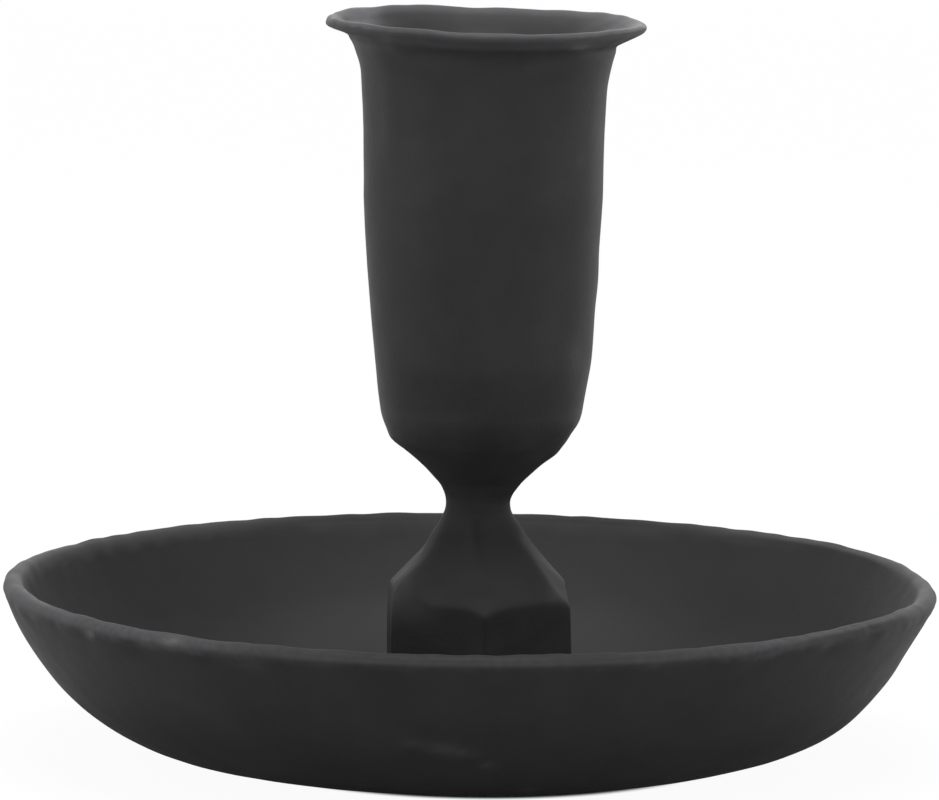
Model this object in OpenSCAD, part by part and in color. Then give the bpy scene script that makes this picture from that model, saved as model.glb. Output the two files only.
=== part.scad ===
// Candle holder: a round cast iron dish with a one-piece candle socket standing in its middle.
// The socket is one casting, from its hexagonal foot through a thin neck to a cup with a flared rim.
// One countersunk screw clamps it to the dish from below, and three felt pads keep the dish off
// the table. Lengths are in millimetres, angles in degrees. Z is up, and the pads rest on z = 0.

/* [Dish] */
// Outer diameter of the dish
dish_d = 100; // [92:1:130]
// Height of the dish, from its underside to the top of its lip
dish_h = 17.8; // [15:0.1:22]
// Thickness of the dish's wall, and so of its rounded lip
wall_t = 2.2; // [1.6:0.1:3.2]
// Thickness of the dish's floor
floor_t = 3; // [2.9:0.1:5]
// Lean of the wall at the lip, from the vertical
wall_lean = 26.4; // [20:0.2:30]
// Radius of the wall's upper curve, on the outside
wall_curve = 60; // [52:1:80]
// Radius of the curve between the wall and the flat underside
bottom_curve = 20; // [14:0.5:22]

/* [Foot and neck] */
// Width of the hexagonal foot across its flats
foot_af = 19; // [16:0.1:24]
// Height of the foot's corners above the dish's floor
foot_h = 12.4; // [11:0.1:16]
// How far the foot's six upright edges are rounded off
foot_edge = 0.25; // [0.1:0.05:0.6]
// Height of the cone between the foot's corners and the neck
cone_h = 8.9; // [7:0.1:12]
// Diameter of the neck
neck_d = 6.8; // [6:0.1:9]
// Length of the neck
neck_len = 3.4; // [3:0.1:6]
// Radius of the hollow curves above and below the neck
neck_fillet = 3.2; // [1:0.1:3.4]
// Turn of the foot about the upright axis, from a corner straight to the front
foot_turn = 3; // [-30:0.5:30]

/* [Cup] */
// Height of the socket, from the face of its foot to the top of its rim
socket_h = 75.3; // [70:0.1:90]
// Height of the cone under the cup
shoulder_h = 6.4; // [5:0.1:8]
// Diameter of the cup at its shoulder
shoulder_d = 21; // [20.4:0.1:24]
// Radius of the rounded shoulder
shoulder_fillet = 6.5; // [3:0.1:8]
// Diameter of the cup a third of the way up
cup_low_d = 24.3; // [23.8:0.1:26]
// Diameter of the cup two thirds of the way up
cup_high_d = 25.5; // [25:0.1:26.5]
// Diameter of the cup just under its flared rim
throat_d = 26.5; // [26:0.1:29]
// Outer diameter of the flared rim
rim_d = 33.8; // [32:0.1:38]
// Thickness of the flared rim
rim_t = 1.1; // [0.8:0.1:1.6]
// Rise of the flared rim, from the horizontal
rim_rise = 36; // [15:1:45]
// Radius of the hollow curve under the flared rim
rim_fillet = 5; // [2:0.1:6]

/* [Candle bore] */
// Diameter of the straight bore that holds a 22 mm candle
bore_d = 22.6; // [21:0.1:23]
// Depth of the straight bore's end below the top of the rim
bore_depth = 24; // [15:0.5:26]
// Thickness of the iron between the neck and the bottom of the hollow
seat_floor_t = 6.6; // [6:0.1:10]
// Diameter that the hollow narrows to at its bottom
seat_d = 18.4; // [15:0.1:18.6]
// Radius of the curve around the hollow's bottom
seat_fillet = 3; // [1:0.1:5]
// Radius of the curve that leads from the bore to the rim
mouth_curve = 4.2; // [2:0.1:5]

/* [Fixing] */
// Diameter of the screw's thread
screw_d = 5; // [4:0.5:6]
// Length of the screw, with its countersunk head
screw_l = 12; // [9:0.5:12.5]
// Diameter of the screw's head
head_d = 9.3; // [8.4:0.1:9.6]
// Width of the cross recess in the head
recess_w = 4.8; // [3.5:0.1:5.5]
// Depth of the cross recess
recess_h = 2; // [1:0.1:2.6]
// Gap around the thread in the foot's tapped hole
thread_gap = 0.05; // [0.02:0.01:0.1]
// Gap around the screw where it goes through the dish
hole_gap = 0.25; // [0.15:0.05:0.5]
// Depth to which the screw's head is sunk below the underside
head_sink = 0.5; // [0.3:0.05:0.7]
// Length of the tapped hole beyond the screw's tip
hole_spare = 1.4; // [0.5:0.1:2]

/* [Felt pads] */
// Diameter of each felt pad
pad_d = 12; // [8:0.5:14]
// Thickness of each felt pad
pad_t = 1.2; // [0.8:0.1:3]
// Distance from a pad's edge to the edge of the flat underside
pad_inset = 3; // [1:0.5:4]

/* [Hidden] */

// Places around the dish, one for each felt pad in the list
pad_places = 3;

// Steps in each rounded corner of an outline, and sides of what is turned
corner_steps = 8;
arc_steps = 12;
$fn = 96;

// Thickness of the blades in the cross recess, and of the head's upright edge
recess_blade = 0.95;
head_edge = 0.25;
// Width of the small cone at the screw's tip
tip_chamfer = 0.6;
// Play between the head and its countersink, along the screw
seat_gap = 0.05;
// Angle of the drill's point at the end of the tapped hole
drill_point = 118;
// Radius of the two soft bends in the cup's side, and how far up the side each one lies
cup_bend = 40;
bend_shares = [1 / 3, 2 / 3];
// How far a cut runs past the face it cuts
over = 1;

// Where the pieces stand
underside_z = pad_t;
floor_z = underside_z + floor_t;

// Dish: lip centre, then the centres and ends of the wall's two outer curves
lip_r = wall_t / 2;
lip_centre = [dish_d / 2 - lip_r, dish_h - lip_r];
wall_top = lip_centre + lip_r * out(wall_lean);
wall_centre = wall_top - wall_curve * out(wall_lean);
bend_lean = asin((wall_top[1] + wall_curve * sin(wall_lean) - bottom_curve) / (wall_curve - bottom_curve));
bend = wall_centre + wall_curve * out(bend_lean);
base_centre = bend - bottom_curve * out(bend_lean);
base_r = base_centre[0];
// Dish: where the wall's inner curve bends, and the curve from there to the floor
inner_bend = wall_centre + (wall_curve - wall_t) * out(bend_lean);
inner_curve = (inner_bend[1] - floor_t) / (1 - sin(bend_lean));
inner_centre = inner_bend - inner_curve * out(bend_lean);

// Foot and neck: heights above the foot's face
foot_r = foot_af / sqrt(3);
foot_round_r = foot_r - foot_edge;
neck_r = neck_d / 2;
corner_z = foot_h + foot_edge * cone_h / (foot_r - neck_r);
neck_low = foot_h + cone_h;
neck_mid = neck_low + neck_len / 2;
neck_high = neck_low + neck_len;

// Cup: heights above the foot's face
shoulder_z = neck_high + shoulder_h;
rim_centre = [(rim_d - rim_t) / 2, socket_h - rim_t / 2];
// The underside of the rim, from below the rim's centre back to the throat
rim_under = rim_centre + rim_t / 2 * [sin(rim_rise), -cos(rim_rise)];
throat_z = rim_under[1] - (rim_under[0] - throat_d / 2) * tan(rim_rise);
cup_low_z = shoulder_z + bend_shares[0] * (throat_z - shoulder_z);
cup_high_z = shoulder_z + bend_shares[1] * (throat_z - shoulder_z);
// The bottom of the hollow
seat_z = neck_high + seat_floor_t;
// The top of the rim, carried on inwards to the bore
rim_over = rim_centre - rim_t / 2 * [sin(rim_rise), -cos(rim_rise)];
mouth_z = rim_over[1] - (rim_over[0] - bore_d / 2) * tan(rim_rise);

// Screw: the head lies in a 90 degree countersink
screw_r = screw_d / 2;
head_r = head_d / 2;
sink_r = head_r + head_sink;
hole_r = screw_r + hole_gap;
head_z = underside_z + head_sink - seat_gap;
tip_z = head_z - head_edge + screw_l;
hole_depth = tip_z - floor_z + hole_spare;

// Pads: each lies on a circle inside the edge of the flat underside
pad_ring = base_r - pad_inset - pad_d / 2;

// Unit vector that points out of a wall leaning by a degrees, on its under side
function out(a) = [cos(a), -sin(a)];

// Points on an arc, from angle a to angle b
function arc(centre, r, a, b, steps) =
    [for (i = [0:steps]) let (t = a + (b - a) * i / steps) centre + r * [cos(t), sin(t)]];

function unit(v) = v / norm(v);

// One corner b of an outline, rounded with radius r, between its neighbours a and c
function rounded(a, b, c, r) =
    let (
        u = unit(a - b),
        w = unit(c - b),
        half = acos(u * w) / 2,
        centre = b + unit(u + w) * r / sin(half),
        p = b + u * r / tan(half) - centre,
        q = b + w * r / tan(half) - centre,
        from = atan2(p[1], p[0]),
        turn = atan2(p[0] * q[1] - p[1] * q[0], p * q)
    )
    arc(centre, r, from, from + turn, corner_steps);

// An outline whose inner corners are rounded; each corner is [x, y, radius], and 0 leaves it sharp
function outline(corners) =
    let (last = len(corners) - 1, at = [for (c = corners) [c[0], c[1]]])
    [for (i = [0:last])
        each (i == 0 || i == last || corners[i][2] == 0)
            ? [at[i]]
            : rounded(at[i - 1], at[i], at[i + 1], corners[i][2])];

// The dish: turned from one outline, with a countersunk hole for the screw
module dish() {
    color([0.15, 0.15, 0.155])
    translate([0, 0, underside_z])
    difference() {
        rotate_extrude()
        polygon(concat(
            [[0, floor_t]],
            arc(inner_centre, inner_curve, -90, -bend_lean, arc_steps),
            arc(wall_centre, wall_curve - wall_t, -bend_lean, -wall_lean, corner_steps),
            arc(lip_centre, lip_r, 180 - wall_lean, -wall_lean, arc_steps),
            arc(wall_centre, wall_curve, -wall_lean, -bend_lean, corner_steps),
            arc(base_centre, bottom_curve, -bend_lean, -90, arc_steps),
            [[0, 0]]
        ));
        translate([0, 0, -over])
        cylinder(r = hole_r, h = floor_t + 2 * over);
        translate([0, 0, -over])
        cylinder(r1 = sink_r + over, r2 = hole_r, h = sink_r - hole_r + over);
    }
}

// The socket's outside, turned: foot, cone, neck, shoulder, cup, and the flared rim's round edge
module blank() {
    rotate_extrude()
    polygon(concat(
        outline([
            [0, 0, 0],
            [foot_round_r, 0, 0],
            [foot_round_r, corner_z, 0],
            [neck_r, neck_low, neck_fillet],
            [neck_r, neck_high, neck_fillet],
            [shoulder_d / 2, shoulder_z, shoulder_fillet],
            [cup_low_d / 2, cup_low_z, cup_bend],
            [cup_high_d / 2, cup_high_z, cup_bend],
            [throat_d / 2, throat_z, rim_fillet],
            [rim_under[0], rim_under[1], 0]
        ]),
        arc(rim_centre, rim_t / 2, rim_rise - 90, rim_rise + 90, arc_steps),
        [[0, rim_over[1]]]
    ));
}

// What is kept of the blank: a hexagon at the foot, and everything from the neck up
module kept() {
    rotate([0, 0, foot_turn - 90])
    linear_extrude(neck_high)
    circle(r = foot_r, $fn = 6);
    translate([0, 0, neck_mid])
    cylinder(r = rim_d, h = socket_h);
}

// The hollow for the candle: a curved mouth, a straight bore, then a taper that grips the candle
module hollow() {
    rotate_extrude()
    polygon(outline([
        [0, seat_z, 0],
        [seat_d / 2, seat_z, seat_fillet],
        [bore_d / 2, socket_h - bore_depth, 0],
        [bore_d / 2, mouth_z, mouth_curve],
        [rim_over[0], rim_over[1], 0],
        [rim_over[0], socket_h + over, 0],
        [0, socket_h + over, 0]
    ]));
}

// The tapped hole in the foot, with the cone that the drill leaves
module tapped_hole() {
    bottom_r = screw_r + thread_gap;
    translate([0, 0, -over])
    cylinder(r = bottom_r, h = hole_depth + over);
    translate([0, 0, hole_depth])
    cylinder(r1 = bottom_r, r2 = 0, h = bottom_r / tan(drill_point / 2));
}

// The socket: one casting, from the foot to the flared rim
module candle_socket() {
    color([0.13, 0.13, 0.135])
    translate([0, 0, floor_z])
    difference() {
        intersection() {
            blank();
            kept();
        }
        hollow();
        tapped_hole();
    }
}

// The screw: a countersunk head with a cross recess, and a plain shank in place of its thread
module fixing_screw() {
    color([0.3, 0.3, 0.32])
    difference() {
        rotate_extrude()
        polygon([
            [0, head_z - head_edge],
            [head_r, head_z - head_edge],
            [head_r, head_z],
            [screw_r, head_z + head_r - screw_r],
            [screw_r, tip_z - tip_chamfer],
            [screw_r - tip_chamfer, tip_z],
            [0, tip_z]
        ]);
        intersection() {
            translate([0, 0, head_z - head_edge - over])
            cylinder(r1 = recess_w / 2 * (recess_h + over) / recess_h, r2 = 0, h = recess_h + over);
            for (turn = [0, 90])
                rotate([0, 0, turn])
                translate([-recess_w, -recess_blade / 2, head_z - head_edge - over])
                cube([2 * recess_w, recess_blade, recess_h + over]);
        }
    }
}

// One felt pad, at its place on the circle; the first is at the back
module felt_pad(place) {
    color([0.09, 0.09, 0.09])
    rotate([0, 0, 90 + place * 360 / pad_places])
    translate([pad_ring, 0, 0])
    cylinder(d = pad_d, h = pad_t);
}

dish();
candle_socket();
fixing_screw();
felt_pad(0);  // felt_pad_1
felt_pad(1);  // felt_pad_2
felt_pad(2);  // felt_pad_3
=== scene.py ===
# A black iron candle holder: a shallow dish, and a one-piece candle socket screwed to its middle.
# Each section makes one piece, or pieces that are alike. Meshes are worked in millimetres and
# scaled to metres when they are finished. X points to the right of the main view, Y away from the
# camera, and Z up.
import math

import bmesh
import bpy
from mathutils import Matrix, Vector, noise


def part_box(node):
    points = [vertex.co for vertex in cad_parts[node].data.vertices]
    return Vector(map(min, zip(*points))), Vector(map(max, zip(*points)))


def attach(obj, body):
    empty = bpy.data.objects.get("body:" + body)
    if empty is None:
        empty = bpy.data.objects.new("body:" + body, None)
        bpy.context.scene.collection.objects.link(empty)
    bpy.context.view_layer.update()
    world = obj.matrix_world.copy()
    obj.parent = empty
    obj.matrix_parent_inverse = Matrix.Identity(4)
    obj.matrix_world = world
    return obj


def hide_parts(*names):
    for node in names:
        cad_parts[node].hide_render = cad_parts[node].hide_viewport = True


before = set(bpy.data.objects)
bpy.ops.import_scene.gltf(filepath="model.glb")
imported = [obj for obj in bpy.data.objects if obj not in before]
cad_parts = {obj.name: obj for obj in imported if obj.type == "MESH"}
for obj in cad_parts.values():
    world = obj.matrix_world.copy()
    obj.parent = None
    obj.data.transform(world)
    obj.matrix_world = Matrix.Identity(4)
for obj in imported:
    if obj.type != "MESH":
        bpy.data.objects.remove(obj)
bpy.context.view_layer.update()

# The camera stands 0.73 m in front of the holder, a little above its rim, and looks down by
# 7 degrees through a long lens, so that the dish shows as a flat ellipse.
CAMERA_PLACE = (-0.00093, -0.72905, 0.13366)
CAMERA_DOWN = 0.1298
CAMERA_YAW = 0.0005
CAMERA_ROLL = 0.009
CAMERA_LENS = 262.9
CAMERA_SENSOR = 36


def placed(name, data):
    """An object with this data, put in the scene."""
    made = bpy.data.objects.new(name, data)
    bpy.context.scene.collection.objects.link(made)
    return made


camera = placed("camera", bpy.data.cameras.new("camera"))
camera.data.lens = CAMERA_LENS
camera.data.sensor_width = CAMERA_SENSOR
camera.matrix_world = (
    Matrix.Translation(CAMERA_PLACE)
    @ Matrix.Rotation(CAMERA_YAW, 4, "Z")
    @ Matrix.Rotation(math.pi / 2 - CAMERA_DOWN, 4, "X")
    @ Matrix.Rotation(CAMERA_ROLL, 4, "Z")
)
bpy.context.scene.camera = camera

# The dish is one iron casting, blackened all over: a flat floor, a leaning wall in two easy
# curves, and a lip rounded over. A countersunk hole in its middle takes the screw from below.
MM = 0.001
DISH_BASE_R = 28.946
DISH_BOTTOM_CURVE = 20
DISH_WALL_CURVE = 60
DISH_BEND_LEAN = 34.906
DISH_LIP_LEAN = 26.4
DISH_WALL = 2.2
DISH_INNER_CURVE = 15.93
HOLE_R = 2.75
SINK_R = 5.15
# How far apart the points of the outline are
FLOOR_STEP = 1.5
WALL_STEP = 0.6
LIP_STEP = 0.22
HOLE_STEP = 1
DISH_TURN_STEPS = 480
SEAM_GAP = 0.002
# An edge that turns by more degrees than this stays sharp
SHARP_TURN = 50
# Unevenness of the casting, and more of it on the lip: how high, how wide, and a seed
DISH_WAVES = ((0.05, 14, 3), (0.03, 4, 8))
LIP_WAVES = ((0.12, 2.8, 12),)
# The floor is true under the foot, and uneven from there out: distances from the middle
TRUE_FLOOR_R = (13, 24)
# The lip's own unevenness fades out below its top
LIP_DEPTH = (1.5, 3.2)
# How much a face points up where the inside of the dish begins, and on its level floor
FACES_UP = (-0.1, 0.3)
FACES_LEVEL = 0.9
# How far the wall and then the lip lie to the left, and between which distances from the middle
DISH_SHIFTS = ((0.93, 12, 27), (0.15, 29, 50))
# Where the wall bulges, or is flatter: how far, azimuth, height, and reach along and up
DISH_SWELLS = (
    (0.35, -14, 4.5, 14, 2),
    (-0.3, -30, 1.9, 8, 0.6),
    (-0.2, -38, 1.6, 8, 0.6),
    (0.2, 215, 1.7, 8, 0.6),
    (0.35, 180, 13.5, 30, 4),
    (-0.15, 0, 13, 30, 4),
    (0.16, 0, 18.2, 20, 1.2),
    (0.15, 0, 10.3, 25, 1.6),
    (-0.14, 180, 4.7, 25, 1.8),
)
# Nicks in the lip, and rubbed spots on the wall: how deep, how bare, azimuth, height, and reach
DISH_MARKS = (
    (0.25, 0.5, 218, 17.6, 0.9, 0.4),
    (0.2, 0.5, 232.5, 18.5, 1.1, 0.35),
    (0.3, 0, 227, 16.8, 2, 0.5),
    (0.25, 0, 238, 17.2, 1.2, 0.5),
    (0.3, 0.1, 243, 16.9, 1.6, 0.5),
    (0.25, 0, 251, 17.2, 1.2, 0.5),
    (0.3, 0, 327, 18.4, 0.9, 0.4),
    (0.25, 0, 318, 17.3, 1.8, 0.5),
    (0.3, 0.1, 307, 17.4, 1.4, 0.5),
    (0.25, 0, 299, 17.2, 1.2, 0.5),
    (0, 0.12, 262.8, 9.2, 1.3, 0.5),
    (0, 0.16, 266.5, 8.6, 1.6, 0.6),
    (0, 0.12, 269.3, 8.1, 1.5, 0.5),
    (0, 0.14, 272.6, 6.6, 0.8, 0.4),
    (0, 0.14, 279.5, 3, 1, 0.4),
)
# How far the lip rises above its mean height, anticlockwise from the right, and where on the
# wall that begins
DISH_LIP_LIFT = (-0.25, 0.05, 0, 0.05, 0.1, 0.15, 0.45, 0.25, 0.1, 0, 0, 0.15)
DISH_LIFT_Z = 8
# The blacking, its gloss, and the paler iron where it is worn off, which is also the colour of the
# painted sheen
DISH_TONE = (0.0105, 0.0105, 0.011)
DISH_GLOSS = 0.12
WEAR_AND_SHEEN_TONE = (0.0815, 0.081, 0.0855, 1)
# The middle of the painted sheen in the dish, behind the foot
SHEEN_MIDDLE = (0, 34, 2)


class Outline:
    """A wire in the XZ plane, drawn by a point that walks in straight lines and arcs."""

    def __init__(self, x, z):
        self.mesh = bmesh.new()
        self.tip = self.mesh.verts.new((x, 0, z))
        self.heading = 0

    def line(self, length, step):
        """A straight run, in points about one step apart."""
        count = max(1, round(length / step))
        stride = length / count * Vector((math.cos(self.heading), 0, math.sin(self.heading)))
        for _ in range(count):
            self.tip = bmesh.ops.extrude_vert_indiv(self.mesh, verts=[self.tip])["verts"][0]
            self.tip.co += stride

    def bend(self, radius, turn, step):
        """An arc that bears left by a turn in degrees, or right by a negative one."""
        angle = math.radians(turn)
        side = math.copysign(radius, angle)
        made = bmesh.ops.spin(
            self.mesh,
            geom=[self.tip],
            cent=self.tip.co + side * Vector((-math.sin(self.heading), 0, math.cos(self.heading))),
            axis=(0, -1, 0),
            angle=angle,
            steps=max(3, round(radius * abs(angle) / step)),
        )
        self.tip = next(part for part in made["geom_last"] if isinstance(part, bmesh.types.BMVert))
        self.heading += angle

    def through(self, corners):
        """Straight runs to each (x, z, radius, step) corner in turn, with each corner rounded off."""
        for (x, z, radius, step), after in zip(corners, corners[1:] + [None]):
            run = Vector((x, 0, z)) - self.tip.co
            self.heading = math.atan2(run.z, run.x)
            turn = 0
            if after:
                turn = math.degrees(math.atan2(after[1] - z, after[0] - x) - self.heading)
                turn = (turn + 180) % 360 - 180
            cut = radius * math.tan(math.radians(abs(turn)) / 2)
            self.line(run.length - cut, step)
            if radius:
                self.bend(radius, turn, step)

    def turned(self, steps, first_azimuth=0):
        """Turns the wire about the upright axis: an eighth of the turn, then doubled three times."""
        start = Matrix.Rotation(math.radians(first_azimuth), 3, "Z")
        bmesh.ops.rotate(self.mesh, verts=self.mesh.verts, cent=(0, 0, 0), matrix=start)
        bmesh.ops.spin(
            self.mesh,
            geom=self.mesh.verts[:] + self.mesh.edges[:],
            cent=(0, 0, 0),
            axis=(0, 0, 1),
            angle=math.pi / 4,
            steps=steps // 8,
        )
        for eighths in (1, 2, 4):
            whole = self.mesh.verts[:] + self.mesh.edges[:] + self.mesh.faces[:]
            copied = bmesh.ops.duplicate(self.mesh, geom=whole)["geom"]
            bmesh.ops.rotate(
                self.mesh,
                verts=[part for part in copied if isinstance(part, bmesh.types.BMVert)],
                cent=(0, 0, 0),
                matrix=Matrix.Rotation(eighths * math.pi / 4, 3, "Z"),
            )
        bmesh.ops.remove_doubles(self.mesh, verts=self.mesh.verts, dist=SEAM_GAP)
        bmesh.ops.recalc_face_normals(self.mesh, faces=self.mesh.faces)
        self.mesh.normal_update()
        return self.mesh


def ease(value, low, high):
    """0 below low, 1 above high, and an easy curve between them."""
    share = min(1, max(0, (value - low) / (high - low)))
    return share * share * (3 - 2 * share)


def between(first, second, share):
    """A value on the way from the first to the second."""
    return first * (1 - share) + second * share


def polar(place):
    """Distance from the upright axis, and azimuth in degrees."""
    return math.hypot(place.x, place.y), math.degrees(math.atan2(place.y, place.x))


def around(values, azimuth):
    """The value at an azimuth, eased between values that are evenly spaced round the turn."""
    spot = azimuth % 360 / 360 * len(values)
    before = int(spot) % len(values)
    after = (before + 1) % len(values)
    return between(values[before], values[after], ease(spot % 1, 0, 1))


def waver(place, waves):
    """Smooth unevenness: the sum of waves that have a height, a width and a seed each."""
    total = 0
    for height, width, seed in waves:
        total += height * noise.noise(place / width + Vector((seed, 3.7 * seed, 1.9)))
    return total


def swell(place, azimuth, height, along, up):
    """1 at a spot on a turned piece, fading to 0 around it: along the turn, and up and down."""
    turn = math.atan2(place.y, place.x) - math.radians(azimuth)
    turn = (turn + math.pi) % (2 * math.pi) - math.pi
    reach = turn * math.hypot(place.x, place.y) / along
    rise = (place.z - height) / up
    return math.exp(-reach * reach - rise * rise)


def worked(vert, place, swells, marks, bare):
    """Pushes a point out by its swells and in by its marks, and notes how bare the marks rub it."""
    push = sum(size * swell(place, *spot) for size, *spot in swells)
    push -= sum(depth * swell(place, *spot) for depth, _, *spot in marks)
    vert[bare] = sum(share * swell(place, *spot) for _, share, *spot in marks)
    vert.co += push * Vector((place.x, place.y, 0)).normalized()


def finished(mesh, name, material):
    """Scales a mesh to metres and makes it a piece that rides on the holder's one body."""
    bmesh.ops.scale(mesh, vec=(MM, MM, MM), verts=mesh.verts)
    data = bpy.data.meshes.new(name)
    mesh.to_mesh(data)
    mesh.free()
    data.shade_smooth()
    data.set_sharp_from_angle(angle=math.radians(SHARP_TURN))
    data.materials.append(material)
    piece = placed(name, data)
    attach(piece, "root")
    return piece


class Signal:
    """A socket on its way through a shader, so that the maths on it is written as sums."""

    def __init__(self, finish, socket):
        self.finish = finish
        self.socket = socket

    def out(self, name):
        """Another output of the same node."""
        return Signal(self.finish, self.socket.node.outputs[name])

    def maths(self, operation, first, second):
        """The Math node for one operation."""
        return self.finish.node("Math", {"operation": operation}, {0: first, 1: second})

    def __add__(self, other):
        return self.maths("ADD", self, other)

    def __sub__(self, other):
        return self.maths("SUBTRACT", self, other)

    def __rsub__(self, other):
        return self.maths("SUBTRACT", other, self)

    def __mul__(self, other):
        return self.maths("MULTIPLY", self, other)

    __radd__ = __add__
    __rmul__ = __mul__


class Finish:
    """The nodes of a material or of the surroundings. One method adds a node of any type."""

    def __init__(self, block):
        self.block = block
        block.use_nodes = True
        self.tree = block.node_tree
        self.tree.nodes.clear()

    def node(self, kind, settings, sockets, output=0):
        """A node with its settings, then the values or links of its sockets. Gives one output."""
        made = self.tree.nodes.new("ShaderNode" + kind)
        for name, value in settings.items():
            setattr(made, name, value)
        for name, value in sockets.items():
            if isinstance(value, Signal):
                self.tree.links.new(value.socket, made.inputs[name])
            else:
                made.inputs[name].default_value = value
        return Signal(self, made.outputs[output]) if made.outputs else None

    def place(self, shift=0):
        """The point on the piece, in millimetres."""
        place = self.node("TexCoord", {}, {}, "Object")
        place = self.node("VectorMath", {"operation": "SCALE"}, {0: place, "Scale": 1 / MM})
        return self.node("VectorMath", {"operation": "ADD"}, {0: place, 1: (shift, 2 * shift, 0)})

    def axes(self):
        """X, Y and Z of the point on the piece, in millimetres."""
        parts = self.node("SeparateXYZ", {}, {0: self.place()})
        return parts, parts.out("Y"), parts.out("Z")

    def layer(self, name):
        """What the mesh holds under a name at the point."""
        return self.node("Attribute", {"attribute_name": name}, {}, "Fac")

    def clouds(self, size, detail=3, shift=0):
        """Soft noise from 0 to 1, in humps of the given size in millimetres."""
        sockets = {"Vector": self.place(shift), "Scale": 1 / size, "Detail": detail}
        return self.node("TexNoise", {}, sockets)

    def ramp(self, value, low, high):
        """0 below low and 1 above high, with an easy curve between them."""
        settings = {"interpolation_type": "SMOOTHSTEP"}
        return self.node("MapRange", settings, {"Value": value, "From Min": low, "From Max": high})

    def band(self, value, low, full, last, high):
        """1 from full to last, with an easy curve from 0 at low and back to 0 at high."""
        return self.ramp(value, low, full) * (1 - self.ramp(value, last, high))

    def mix(self, share, first, second):
        """A colour between two others."""
        return self.node("Mix", {"data_type": "RGBA"}, {0: share, 6: first, 7: second}, 2)

    def shaded(self, colour, level):
        """A colour made lighter or darker."""
        return self.node("VectorMath", {"operation": "SCALE"}, {0: colour, "Scale": level})

    def bump(self, height):
        """A normal that follows a height in millimetres."""
        return self.node("Bump", {}, {"Distance": MM, "Height": height})

    def surface(self, sockets):
        """Ends a material in one plain shader."""
        shader = self.node("BsdfPrincipled", {}, sockets)
        self.node("OutputMaterial", {}, {"Surface": shader})
        return self.block


def blackened_iron(name, tone, gloss, patina):
    """Matt black cast iron, with painted light and shade, wear and painted sheen, and roughness from
    its patina.
    """
    finish = Finish(bpy.data.materials.new(name))
    painted_light, wear_and_sheen, rough = patina(finish)
    patches = finish.clouds(8, shift=5)
    mottle = finish.clouds(2.4, shift=11)
    grain = finish.clouds(0.3, detail=2, shift=23)
    # The painted light and shade scale the blacking; the wear and the painted sheen mix in the pale
    # iron
    level = painted_light * (0.45 + 0.7 * patches + 0.3 * mottle + 0.1 * grain)
    sockets = {
        "Base Color": finish.mix(wear_and_sheen, finish.shaded(tone, level), WEAR_AND_SHEEN_TONE),
        "Roughness": rough + 0.1 * mottle - 0.08 * wear_and_sheen,
        "Specular IOR Level": gloss,
        "Normal": finish.bump(0.02 * grain + 0.05 * mottle),
    }
    return finish.surface(sockets)


dish_low, dish_high = (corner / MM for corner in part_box("dish"))
dish_outline = Outline(SINK_R, dish_low.z)
dish_outline.line(DISH_BASE_R - SINK_R, FLOOR_STEP)
dish_outline.bend(DISH_BOTTOM_CURVE, 90 - DISH_BEND_LEAN, WALL_STEP)
dish_outline.bend(DISH_WALL_CURVE, DISH_BEND_LEAN - DISH_LIP_LEAN, WALL_STEP)
dish_outline.bend(DISH_WALL / 2, 180, LIP_STEP)
dish_outline.bend(DISH_WALL_CURVE - DISH_WALL, DISH_LIP_LEAN - DISH_BEND_LEAN, WALL_STEP)
dish_outline.bend(DISH_INNER_CURVE, DISH_BEND_LEAN - 90, WALL_STEP)
dish_outline.through(
    [
        (HOLE_R, dish_outline.tip.co.z, 0, FLOOR_STEP),
        (HOLE_R, dish_low.z + SINK_R - HOLE_R, 0, HOLE_STEP),
        (SINK_R, dish_low.z, 0, HOLE_STEP),
    ]
)
dish_mesh = dish_outline.turned(DISH_TURN_STEPS)

inside = dish_mesh.verts.layers.float.new("inside")
below_lip = dish_mesh.verts.layers.float.new("below lip")
dish_bare = dish_mesh.verts.layers.float.new("bare")
for vert in dish_mesh.verts:
    place = vert.co.copy()
    radius, azimuth = polar(place)
    depth = dish_high.z - place.z
    vert[inside] = ease(vert.normal.z, *FACES_UP)
    vert[below_lip] = depth
    waves = ease(radius, *TRUE_FLOOR_R) * waver(place, DISH_WAVES)
    waves += (1 - ease(depth, *LIP_DEPTH)) * waver(place, LIP_WAVES)
    vert.co += waves * vert.normal
    marks = DISH_MARKS if vert.normal.z < FACES_LEVEL else ()
    worked(vert, place, DISH_SWELLS, marks, dish_bare)
    vert.co.x -= sum(shift * ease(radius, *reach) for shift, *reach in DISH_SHIFTS)
    vert.co.z += ease(place.z, DISH_LIFT_Z, dish_high.z) * around(DISH_LIP_LIFT, azimuth)


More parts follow.
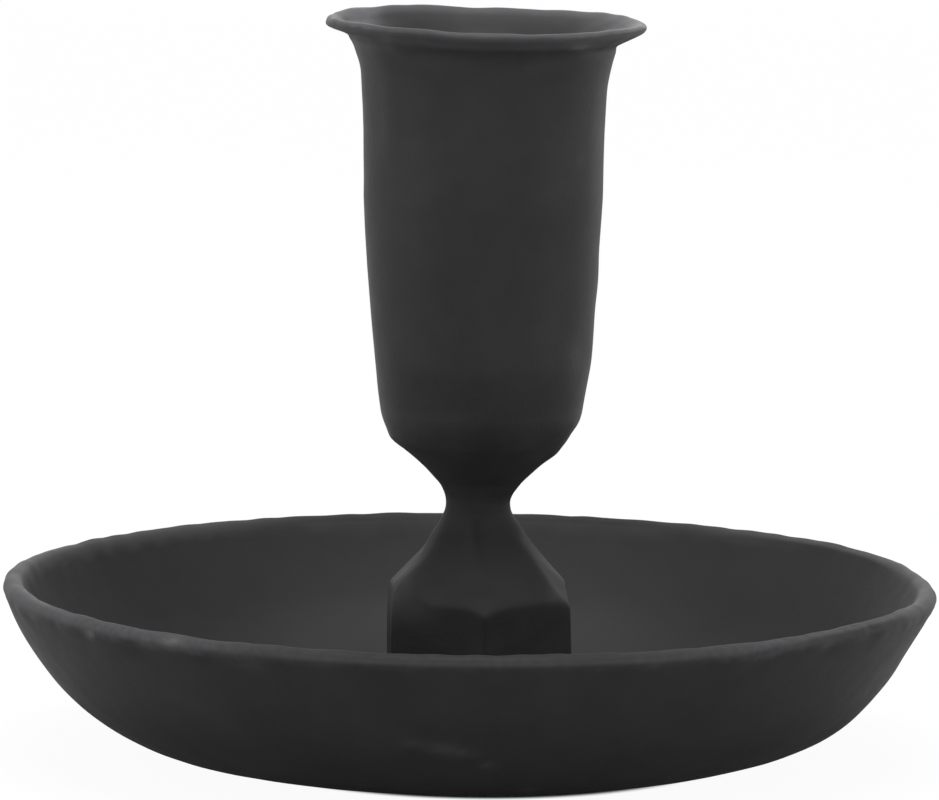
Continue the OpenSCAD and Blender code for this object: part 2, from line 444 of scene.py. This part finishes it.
def dish_patina(finish):
    """Worn along the lip with a ragged edge and painted sheen at its ends, and a painted sheen
    inside, most of all behind the foot.
    """
    side, far, _ = finish.axes()
    spread = side * side
    depth = finish.layer("below lip")

    # The lip: rubbed on its crown, less below that and on the right, and grainy in front. It is paler
    # at both ends as seen from the front, which is painted sheen
    ragged = depth + 1.6 * (finish.clouds(3, shift=41) - 0.5)
    lip = 1 - finish.ramp(ragged, 0.8, 1.9)
    sheen_at_ends = finish.ramp(spread, 100, 1100)
    crown = finish.ramp(depth + 0.12 * finish.ramp(spread, 1600, 2300), 0.03, 0.12)
    right = finish.band(side, 25, 38, 43, 46)
    fade = (0.5 + 0.3 * right) * finish.ramp(depth + 1.4 * right * depth, 0.35, 1.2)
    front = finish.ramp(far, -5, -20) * (1 - finish.ramp(spread, 1500, 2100))
    grainy = 1 + 1.1 * front * (finish.clouds(0.9, shift=61) - 0.5)
    rubbed_and_sheen = lip * (0.12 + 0.27 * sheen_at_ends) * (0.95 + 0.3 * crown - fade) * grainy

    # Painted sheen on the faces that point up inside the dish: most behind the foot, on the right,
    # and close under the middle of the lip
    settings = {"operation": "DISTANCE"}
    away = finish.node("VectorMath", settings, {0: finish.place(), 1: SHEEN_MIDDLE}, "Value")
    near = (1 - finish.ramp(spread, 300, 600)) * finish.ramp(depth, 0.3, 0.8)
    painted_sheen = 0.09 + 0.22 * (1 - finish.ramp(away, 8, 36)) + 0.12 * finish.ramp(side, 22, 46)
    painted_sheen = painted_sheen + 0.1 * near * (1 - finish.ramp(depth, 0.8, 2.6))
    painted_sheen = finish.layer("inside") * painted_sheen * (1 - lip * (1 - 0.7 * near))

    spots = finish.layer("bare") * (0.2 + 1.6 * finish.clouds(0.8, shift=53))
    return 1, rubbed_and_sheen + painted_sheen + spots, 0.65 - 0.1 * crown


dish_iron = blackened_iron("dish iron", DISH_TONE, DISH_GLOSS, dish_patina)
dish = finished(dish_mesh, "dish_casting", dish_iron)
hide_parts("dish")

# The candle socket is one iron casting, worked over with a hammer: a hexagonal foot, a cone, a thin
# neck, and a cup whose rim flares out. The screw's blind hole comes up into the foot.
FOOT_AF = 19
FOOT_CORNER_R = FOOT_AF / math.sqrt(3)
FOOT_EDGE = 0.3
FOOT_TOP = 12.4
FOOT_TURN = 3
NECK_R = 3.4
NECK_LOW = 21.3
NECK_HIGH = 24.7
NECK_CURVE = 3.2
CONE_SLOPE = (FOOT_CORNER_R - NECK_R) / (NECK_LOW - FOOT_TOP)
CONE_LEAN = math.atan(CONE_SLOPE)
RIM_T = 1.1
RIM_CENTRE = Vector((16.35, 74.75))
RIM_RISE = 36
BORE_R = 11.3
BORE_LOW = 51.3
SEAT_R = 9.2
SEAT_Z = 31.3
THREAD_HOLE_R = 2.55
THREAD_HOLE_DEPTH = 10.6
THREAD_HOLE_POINT = 1.53
SOCKET_TURN_STEPS = 288
# The turned shape is made a hexagon outside the screw's hole, and under the sole little by little
# from this distance from the middle. The neck is left round from the first of these heights up
OUTSIDE_HOLE_R = THREAD_HOLE_R + 0.1
SOLE_R = 4
ROUND_NECK_Z = (NECK_LOW + 1.5, NECK_HIGH)
# How far the cone is turned on its way up in degrees, and the heights between which it turns
CONE_TWIST = -7
CONE_TWIST_Z = (FOOT_TOP, 22)
# How far the cone is driven up at each corner and flat of the foot, how far it is turned against
# them in degrees low down and higher up, and how sharp its edge on the foot is, anticlockwise from
# the front corner
CONE_LIFT = (-0.3, -0.3, -0.3, 0.7, 0.3, 0, 0, 0, 0.2, 0.6, 1.5, -0.4)
CONE_LOW_SKEW = (0, 0, 5, 2, 0, 0, 0, 0, 0, 0, -4, 0)
CONE_HIGH_SKEW = (0, 0, 5, 2, 0, 0, 0, 0, 0, 0, -9, -3)
CONE_EDGE = (90, 60, 60, 90, 90, 90, 90, 90, 90, 90, 25, 60)
# How sharp the cone's six creases are just over the foot and half way up, in the same order, and
# how sharp all of them are at the neck, and the foot's own corners
CONE_CREASES = ((8, 24), (13, 13), (14, 24), (14, 24), (14, 24), (8, 11))
NECK_CREASE = 5
FOOT_CREASE = 120
# How far the cone's soft corners are drawn in, low down and near the neck
CONE_DRAWN_IN = (1.025, 0.99)
# Heights between which the lift ends, the creases and the skew change, the creases soften towards
# the neck, and the cone is less drawn in
LIFT_END_Z = (14, 18)
CREASE_Z = (14, 17.5)
SKEW_Z = (16.5, 19.5)
SOFTEN_Z = (19, 22.5)
DRAWN_IN_Z = (18, 22)
# Unevenness of the casting, and more of it on the rim: how high, how wide, and a seed
SOCKET_WAVES = ((0.05, 9, 21), (0.03, 3, 28))
RIM_WAVES = ((0.1, 2.6, 32),)
# Where those come in: up from the sole, outwards from the screw's hole, and up to the rim
TRUE_SOLE_Z = (0.3, 3)
TRUE_HOLE_R = (2.6, 3.3)
RIM_Z = (72, 74)
# How far the neck leans to the left, and the heights between which it comes in and ends
NECK_SHIFT = 0.25
NECK_SHIFT_Z = (17, 22)
NECK_SHIFT_END_Z = (24, 31)
# How much a face points away from the axis where the outside begins
FACES_OUT = (-0.45, 0.3)
# Hammer marks on the foot, neck, cup and rim: how far out, azimuth, height, and reach along and up
SOCKET_SWELLS = (
    (0.15, 0, 40, 10, 4.5),
    (0.15, 0, 47.5, 8, 2.5),
    (-0.22, 0, 30.9, 5, 0.9),
    (0.36, 0, 28.6, 5, 0.8),
    (0.3, 0, 25.5, 4, 2.5),
    (0.13, 0, 25.1, 4, 0.7),
    (-0.1, 0, 23.3, 4, 0.6),
    (0.5, 0, 20.9, 4, 1.1),
    (-0.2, 0, 16.5, 5, 1.8),
    (-0.3, 0, 14.5, 6, 2.2),
    (0.1, 0, 7, 12, 4),
    (0.35, 180, 8, 12, 6),
    (0.55, 180, 20.4, 4.5, 2),
    (-0.1, 180, 23, 4, 0.8),
    (0.15, 180, 24, 4, 2),
    (-0.13, 180, 26.8, 5, 0.9),
    (-0.2, 180, 28, 4, 1.2),
    (0.28, 180, 30.2, 5, 0.8),
    (-0.15, 180, 38.5, 8, 2.5),
    (0.12, 180, 50, 10, 6),
    (-0.6, 180, 73.2, 9, 1.2),
    (-0.5, 180, 73.6, 9, 0.45),
    (0.4, 180, 74.3, 9, 0.4),
    (0.05, 180, 75.2, 9, 0.5),
    (0.35, 0, 75, 9, 1),
    (-0.75, 0, 73, 7, 0.8),
    (0.25, 0, 70.2, 8, 1.5),
)
# Chips under the rim, and rubbed spots on the cup: how deep, how bare, azimuth, height, and reach
SOCKET_MARKS = (
    (0.1, 0.3, 307.5, 73.6, 0.5, 0.3),
    (0.12, 0.35, 312, 73.6, 0.8, 0.3),
    (0, 0.13, 213, 65.5, 1.6, 5),
    (0, 0.14, 339, 62.5, 1.4, 7),
    (0, 0.15, 323, 61, 0.7, 0.6),
    (0, 0.17, 328, 40, 1.6, 2.4),
    (0, 0.14, 214, 31.5, 2.5, 1.2),
    (0, 0.1, 320, 29, 2, 1.2),
)
# How far the rim rises above its mean height, anticlockwise from the right, and the heights and
# the distances from the middle between which that comes in
RIM_LIFT = (-0.45, -0.1, -0.1, -0.08, 0.33, 0.32, 0.15, 0.1, -0.05, -0.41, -0.5, -0.4)
RIM_LIFT_Z = (66, 73)
RIM_LIFT_R = (13, 16.5)
# The blacking and its gloss
SOCKET_TONE = (0.0163, 0.0163, 0.017)
SOCKET_GLOSS = 0.16

foot_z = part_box("candle_socket")[0].z / MM
rim_tilt = math.radians(RIM_RISE)
rim_side = RIM_T / 2 * Vector((math.sin(rim_tilt), -math.cos(rim_tilt)))
rim_under = RIM_CENTRE + rim_side
rim_over = RIM_CENTRE - rim_side
mouth_z = rim_over.y - (rim_over.x - BORE_R) * math.tan(rim_tilt)

# The screw's hole, the foot, the cone and the neck, and the outside of the cup up to the rim
socket_outline = Outline(0, THREAD_HOLE_DEPTH + THREAD_HOLE_POINT)
socket_outline.through(
    [
        (THREAD_HOLE_R, THREAD_HOLE_DEPTH, 0, 1),
        (THREAD_HOLE_R, 0, 0, 1.2),
        (FOOT_CORNER_R, 0, FOOT_EDGE, 0.8),
        (FOOT_CORNER_R, 10.5, 0, 0.8),
        (FOOT_CORNER_R, FOOT_TOP, 0, 0.15),
        (NECK_R, NECK_LOW, NECK_CURVE, 0.28),
        (NECK_R, NECK_HIGH, NECK_CURVE, 0.28),
        (10.5, 31.1, 6.5, 0.3),
        (11.6, 38.6, 20, 0.7),
        (12.14, 47.2, 20, 0.7),
        (12.76, 56.3, 15, 0.8),
        (12.85, 63.3, 15, 0.8),
        (13.3, 71.6, 5, 0.5),
        (rim_under.x, rim_under.y, 0, 0.3),
    ]
)
# Over the rim, and down through the mouth and the bore to the seat of the candle
socket_outline.heading = rim_tilt
socket_outline.bend(RIM_T / 2, 180, 0.2)
socket_outline.through(
    [
        (rim_over.x, rim_over.y, 0, 0.2),
        (BORE_R, mouth_z, 4.2, 0.3),
        (BORE_R, BORE_LOW, 0, 1.5),
        (SEAT_R, SEAT_Z, 3, 1.5),
        (0, SEAT_Z, 0, 1.5),
    ]
)
socket_mesh = socket_outline.turned(SOCKET_TURN_STEPS, FOOT_TURN - 90)


def hexagon(azimuth, sharpness):
    """Radius of a hexagon whose flats are 1 from its middle, with a corner at azimuth 0."""
    total = 0
    for flat in range(30, 360, 60):
        total += max(0, math.cos(math.radians(azimuth - flat))) ** sharpness
    return total ** (-1 / sharpness)


def cone_r(z):
    """Radius of the cone over the foot, with the hollow curve that leads it into the neck."""
    below = NECK_LOW + NECK_CURVE * math.tan(CONE_LEAN / 2) - z
    if below < 0:
        return NECK_R
    if below < NECK_CURVE * math.sin(CONE_LEAN):
        return NECK_R + NECK_CURVE - math.sqrt(NECK_CURVE * NECK_CURVE - below * below)
    return NECK_R + (NECK_LOW - z) * CONE_SLOPE


def foot_r(azimuth, z):
    """Radius of the foot and its cone, at an azimuth from the foot's front corner."""
    low, high = CONE_CREASES[round(azimuth / 60) % 6]
    crease = between(low, high, ease(z, *CREASE_Z))
    crease = between(crease, NECK_CREASE, ease(z, *SOFTEN_Z))
    low_skew = around(CONE_LOW_SKEW, azimuth)
    high_skew = around(CONE_HIGH_SKEW, azimuth)
    skew = between(low_skew, high_skew, ease(z, *SKEW_Z))
    lift = around(CONE_LIFT, azimuth) * (1 - ease(z, *LIFT_END_Z))
    cone = cone_r(z - lift) * hexagon(azimuth + skew, crease)
    cone /= between(*CONE_DRAWN_IN, ease(z, *DRAWN_IN_Z))
    foot = FOOT_AF / 2 * hexagon(azimuth, FOOT_CREASE)
    edge = around(CONE_EDGE, azimuth)
    return (foot**-edge + cone**-edge) ** (-1 / edge)


for vert in socket_mesh.verts:
    z = vert.co.z
    radius, azimuth = polar(vert.co)
    azimuth += 90 - FOOT_TURN
    if z < FOOT_EDGE - 0.01 and radius > SOLE_R:
        share = ease(radius, SOLE_R, FOOT_CORNER_R)
        radius *= between(1, foot_r(azimuth, 0) / FOOT_CORNER_R, share)
    elif z < NECK_HIGH and radius > OUTSIDE_HOLE_R:
        radius = between(foot_r(azimuth, z), radius, ease(z, *ROUND_NECK_Z))
    turn = math.radians(azimuth - 90 + FOOT_TURN + CONE_TWIST * ease(z, *CONE_TWIST_Z))
    vert.co = (radius * math.cos(turn), radius * math.sin(turn), z)
socket_mesh.normal_update()

below_rim = socket_mesh.verts.layers.float.new("below rim")
outside = socket_mesh.verts.layers.float.new("outside")
socket_bare = socket_mesh.verts.layers.float.new("bare")
for vert in socket_mesh.verts:
    place = vert.co.copy()
    radius, azimuth = polar(place)
    vert[below_rim] = RIM_CENTRE.y + RIM_T / 2 - place.z
    vert[outside] = ease(vert.normal.xy.dot(place.xy) / max(radius, 1), *FACES_OUT)
    waves = ease(place.z, *TRUE_SOLE_Z) * ease(radius, *TRUE_HOLE_R) * waver(place, SOCKET_WAVES)
    waves += ease(place.z, *RIM_Z) * waver(place, RIM_WAVES)
    vert.co += waves * vert.normal
    if radius > TRUE_HOLE_R[0]:
        marks = SOCKET_MARKS if vert[outside] > 0.5 else ()
        worked(vert, place, SOCKET_SWELLS, marks, socket_bare)
    vert.co.x -= NECK_SHIFT * ease(place.z, *NECK_SHIFT_Z) * (1 - ease(place.z, *NECK_SHIFT_END_Z))
    lifted = ease(place.z, *RIM_LIFT_Z) * ease(radius, *RIM_LIFT_R)
    vert.co.z += lifted * around(RIM_LIFT, azimuth) + foot_z


def socket_patina(finish):
    """Worn along the rim with painted sheen at its ends, painted light and highlights on the cup, and
    painted shade on the cone.
    """
    side, _, height = finish.axes()
    spread = side * side
    level = height - foot_z
    depth = finish.layer("below rim")
    outer = finish.layer("outside")

    # The rim: worn paler on the inside of its flare, along its crest, and down to a ragged edge
    # outside, and paler still towards both ends as seen from the front, which is painted sheen
    left = finish.band(side, -15, -13.7, -13, -10.5)
    sheen_at_ends = 0.27 + 0.25 * finish.ramp(side, 2, 14) + 0.15 * finish.ramp(side, 13.5, 16) + 0.15 * left
    flare = (1 - finish.ramp(depth, 0, 2)) * sheen_at_ends + 0.6 * (1 - finish.ramp(depth, 0, 0.9))
    flare = flare + 0.6 * left * (1 - finish.ramp(depth, 1, 2.8))
    ragged = depth + 0.6 * (finish.clouds(2, shift=47) - 0.5)
    crest = (1 - finish.ramp(ragged, 0.2, 0.55)) * sheen_at_ends
    skirt = (1 - finish.ramp(ragged, 1.4, 2.2)) * (0.22 + 0.05 * left)
    spots = finish.layer("bare") * (0.2 + 1.6 * finish.clouds(0.5, shift=59))
    wear_and_sheen = flare * (1 - outer) + outer * (crest + skirt) + spots

    # The cup: painted light in the middle under the rim and painted shade at its sides there, a
    # painted highlight along its right edge, and painted light from below under the cup and on its
    # shoulder
    throat = outer * finish.band(depth, 0.8, 1.6, 3, 6) * (0.5 - 0.7 * finish.ramp(spread, 30, 110))
    edge = 0.25 * finish.ramp(side, 9, 12) * finish.ramp(level, 34, 44)
    under = finish.band(level, 22.5, 27, 27.5, 35)
    shoulder = 0.3 * finish.ramp(side, 0, -9) + 0.08 * finish.ramp(side, 5, 9)
    shoulder = shoulder * finish.band(level, 23, 27, 31, 38)

    # The cone: painted shade all over, but painted light on its left corner and painted highlights in
    # a strip over the foot's edge at both sides, and painted shade high on its right
    cone = finish.band(level, 8, 12, 22, 26)
    corner = finish.ramp(-1 * side, 3, 7) * (1 - finish.ramp(level, 13, 15))
    corner = corner * (finish.ramp(level, 9.5, 13) - 0.25)
    strip = finish.ramp(spread, 42, 64) * finish.band(level, 12.5, 14, 15.5, 18)
    top = finish.band(level, 17, 19, 20.5, 22.5) * finish.ramp(side + 0.65 * level, 16.6, 17.4)
    # All of these are painted light and shade, which scale the blacking
    painted_light = 1 + throat + edge + under + shoulder - 0.3 * cone + corner + 0.5 * strip - 0.2 * top

    # Rough where the rim's underside meets the cup, away from the middle
    fillet = outer * finish.ramp(spread, 90, 150) * finish.ramp(depth, 0.6, 1.2)
    fillet = fillet * (1 - finish.ramp(depth - 0.03 * side, 1.6, 2.9))
    return painted_light, wear_and_sheen, 0.48 + 0.13 * cone + 0.07 * top + 0.25 * fillet


socket_iron = blackened_iron("socket iron", SOCKET_TONE, SOCKET_GLOSS, socket_patina)
socket = finished(socket_mesh, "socket_casting", socket_iron)
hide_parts("candle_socket")

# The fixing screw is a zinc-plated steel countersunk screw with a cross recess. It comes up
# through the dish into the foot, and only its head shows, under the dish.
SCREW_WELD = 0.01
SCREW_EDGE = 0.07
SCREW_SHARP_TURN = 35
ZINC = (0.36, 0.36, 0.37, 1)
TARNISHED_ZINC = (0.27, 0.26, 0.25, 1)

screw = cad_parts["fixing_screw"]
weld = screw.modifiers.new("weld", "WELD")
weld.merge_threshold = SCREW_WELD * MM
edges = screw.modifiers.new("soft edges", "BEVEL")
edges.width = SCREW_EDGE * MM
edges.segments = 2
edges.angle_limit = math.radians(SCREW_SHARP_TURN)

plating = Finish(bpy.data.materials.new("zinc plating"))
streaks = plating.clouds(0.5, shift=3)
tarnish = plating.clouds(2.5, shift=13)
plating.surface(
    {
        "Base Color": plating.mix(tarnish, ZINC, TARNISHED_ZINC),
        "Metallic": 1,
        "Roughness": 0.3 + 0.2 * tarnish,
        "Normal": plating.bump(0.01 * streaks),
    }
)
for slot in screw.material_slots:
    slot.material = plating.block

# Three felt pads are stuck under the dish, to keep the iron off the table. Each is a disc cut
# from pressed black felt, with a soft edge.
FELT_TONE = (0.022, 0.022, 0.023)
PAD_LOW_EDGE = 0.35
PAD_HIGH_EDGE = 0.15
PAD_TURN_STEPS = 96
# How high and how wide the edge's waves are, and the first pad's seed
PAD_WAVES = (0.07, 0.9, 51)
# How far from the pad's underside and from its top the waves come in
PAD_WAVES_OVER = (0.05, 0.3)
PAD_WAVES_UNDER = (0.02, 0.2)

felt = Finish(bpy.data.materials.new("black felt"))
fibres = felt.clouds(0.16, detail=4, shift=17)
tufts = felt.clouds(1.1, shift=29)
felt.surface(
    {
        "Base Color": felt.shaded(FELT_TONE, 0.6 + 0.6 * fibres + 0.3 * tufts),
        "Roughness": 0.95,
        "Specular IOR Level": 0.1,
        "Normal": felt.bump(0.08 * fibres + 0.1 * tufts),
    }
)

for number in (1, 2, 3):
    low, high = (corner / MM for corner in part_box(f"felt_pad_{number}"))
    middle = (low + high) / 2
    pad_r = (high.x - low.x) / 2
    wave, width, seed = PAD_WAVES
    pad_outline = Outline(0, 0)
    pad_outline.through(
        [
            (pad_r, 0, PAD_LOW_EDGE, 0.3),
            (pad_r, high.z, PAD_HIGH_EDGE, 0.2),
            (0, high.z, 0, 0.5),
        ]
    )
    pad_mesh = pad_outline.turned(PAD_TURN_STEPS)
    for vert in pad_mesh.verts:
        place = vert.co.copy()
        share = ease(place.z, *PAD_WAVES_OVER) * ease(high.z - place.z, *PAD_WAVES_UNDER)
        vert.co += share * waver(place, [(wave, width, seed + number - 1)]) * vert.normal
        vert.co += Vector((middle.x, middle.y, 0))
    pad = finished(pad_mesh, f"felt_disc_{number}", felt.block)
    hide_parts(f"felt_pad_{number}")

# The floor is a plain white sheet that the holder stands on. The camera and the reflections see
# it white, and it keeps the holder's soft shadow, which is deepest close under the dish.
FLOOR_REACH = 3
FLOOR_CELLS = 8
PAPER = (0.85, 0.85, 0.85, 1)
WHITE = (1, 1, 1, 1)
# How white the floor looks, and the distances from its middle between which the shadow gives way
# to that white, for the camera and in reflections
FLOOR_WHITE = 0.95
SHADOW_SEEN = (25, 27)
SHADOW_MIRRORED = (40, 110)

floor_mesh = bmesh.new()
bmesh.ops.create_grid(
    floor_mesh, x_segments=FLOOR_CELLS, y_segments=FLOOR_CELLS, size=FLOOR_REACH
)
floor_data = bpy.data.meshes.new("floor")
floor_mesh.to_mesh(floor_data)
floor_mesh.free()
floor = placed("floor", floor_data)

paper = Finish(bpy.data.materials.new("white paper"))
rays = paper.node("LightPath", {}, {}, "Is Camera Ray")
mirrored = rays.out("Is Glossy Ray") + rays.out("Is Transmission Ray")
away = paper.node("VectorMath", {"operation": "LENGTH"}, {0: paper.place()}, "Value")
white = rays * paper.ramp(away, *SHADOW_SEEN) + mirrored * paper.ramp(away, *SHADOW_MIRRORED)
diffuse = paper.node("BsdfDiffuse", {}, {"Color": PAPER})
glow = paper.node("Emission", {}, {"Color": WHITE, "Strength": 1})
sheet = paper.node("MixShader", {}, {0: FLOOR_WHITE * white, 1: diffuse, 2: glow})
paper.node("OutputMaterial", {}, {"Surface": sheet})
floor_data.materials.append(paper.block)

# The studio is white all round, with large soft lamps to the left and right, overhead, in front
# and behind, that are aimed at the middle of the holder.
ROOM_LEVEL = 0.5
LAMP_AIM = Vector((0, 0, 0.04))
# Each lamp's place, width and power
LAMPS = {
    "left lamp": ((-0.9, -0.3, 0.4), 0.8, 4),
    "right lamp": ((0.9, -0.3, 0.4), 0.8, 3.6),
    "top lamp": ((0, -0.15, 1.0), 0.6, 7),
    "front lamp": ((0, -1.1, 0.1), 0.8, 2.5),
    "back lamp": ((0, 1.1, 0.45), 0.9, 1.5),
}

studio = bpy.data.worlds.new("white studio")
bpy.context.scene.world = studio
room = Finish(studio)
rays = room.node("LightPath", {}, {}, "Is Camera Ray")
white = rays + rays.out("Is Glossy Ray") + rays.out("Is Transmission Ray")
room_sockets = {"Color": WHITE, "Strength": ROOM_LEVEL + (1 - ROOM_LEVEL) * white}
room.node("OutputWorld", {}, {"Surface": room.node("Background", {}, room_sockets)})

for name, (place, width, power) in LAMPS.items():
    lamp = placed(name, bpy.data.lights.new(name, "AREA"))
    lamp.data.shape = "DISK"
    lamp.data.size = width
    lamp.data.energy = power
    aim = (LAMP_AIM - Vector(place)).to_track_quat("-Z", "Y")
    lamp.matrix_world = Matrix.Translation(place) @ aim.to_matrix().to_4x4()

# Colours render as they are written.
bpy.context.scene.view_settings.view_transform = "Standard"
